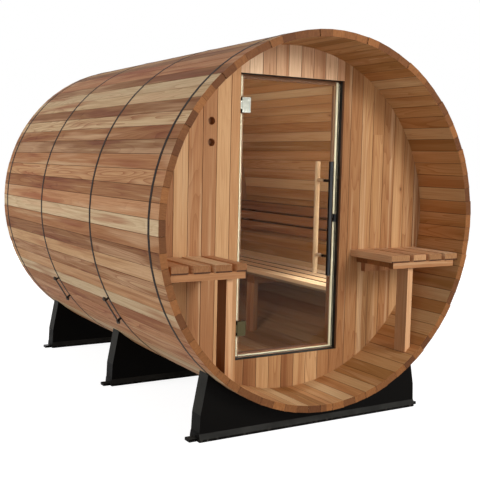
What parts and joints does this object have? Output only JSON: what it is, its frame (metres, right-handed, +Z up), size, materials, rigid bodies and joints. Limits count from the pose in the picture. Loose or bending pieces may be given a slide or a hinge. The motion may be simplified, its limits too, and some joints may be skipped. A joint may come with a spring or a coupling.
{
  "type": "barrel sauna",
  "caption": "Outdoor barrel sauna of cedar staves on three black saddle cradles, with an open porch, two side benches, a hinged glass door and a bench with backrest inside",
  "frame": {"origin": "middle of the footprint, on the ground under the cradles", "axes": "+Z up, the barrel lies along Y, the porch and the glass door face -Y, +X is on the right of someone facing the door"},
  "size_m": [1.8298, 2.445, 1.9149],
  "materials": {
    "cedar": "planed, unfinished, with pale sapwood streaks and knots",
    "cedar_boards": "planed tongue-and-groove boards, unfinished",
    "cedar_frame": "planed, unfinished",
    "cedar_slats": "planed with eased edges, unfinished",
    "pale_wood": "turned and sanded smooth",
    "glass": "clear toughened glass",
    "seal": "pale matt strip",
    "bright_fittings": "polished",
    "dark_metal": "dark, satin",
    "dark_fittings": "black, satin",
    "band_steel": "dark steel strap, satin",
    "black_plastic": "moulded, slightly grained"
  },
  "bodies": {
    "cabin": {"staves_top": "cedar", "staves_upper_right": "cedar", "staves_right": "cedar", "staves_lower_right": "cedar", "staves_bottom": "cedar", "staves_lower_left": "cedar", "staves_left": "cedar", "staves_upper_left": "cedar", "front_wall_left": "cedar_boards", "front_wall_right": "cedar_boards", "front_wall_over_door": "cedar_boards", "front_wall_under_door": "cedar_boards", "vent_slide": "cedar_boards", "rear_wall": "cedar_boards", "door_frame_hinge_jamb": "cedar_frame", "door_frame_latch_jamb": "cedar_frame", "door_frame_head": "cedar_frame", "door_frame_sill": "cedar_frame", "door_seal": "seal", "catch_magnet": "dark_fittings", "hinge_leaves": "bright_fittings", "porch_bench_left_slats": "cedar_slats", "porch_bench_left_frame": "cedar_slats", "porch_bench_right_slats": "cedar_slats", "porch_bench_right_frame": "cedar_slats", "inside_bench_slats": "cedar_slats", "inside_bench_frame": "cedar_slats", "backrest_slats": "cedar_slats", "backrest_battens": "cedar_slats", "steel_band_1": "band_steel", "steel_band_2": "band_steel", "steel_band_3": "band_steel", "steel_band_4": "band_steel", "cradle_1": "black_plastic", "cradle_2": "black_plastic", "cradle_3": "black_plastic"},
    "door": {"door_glass": "glass", "hinge_clamps": "bright_fittings", "outer_pull": "dark_metal", "inner_pull": "pale_wood", "catch_plate": "dark_fittings"}
  },
  "joints": [
    {"name": "door_hinge", "type": "hinge", "parent": "cabin", "child": "door", "pos_m": [-0.3025, -0.8335, 1.008], "axis": [0, 0, -1], "range_deg": [0, 90]}
  ]
}
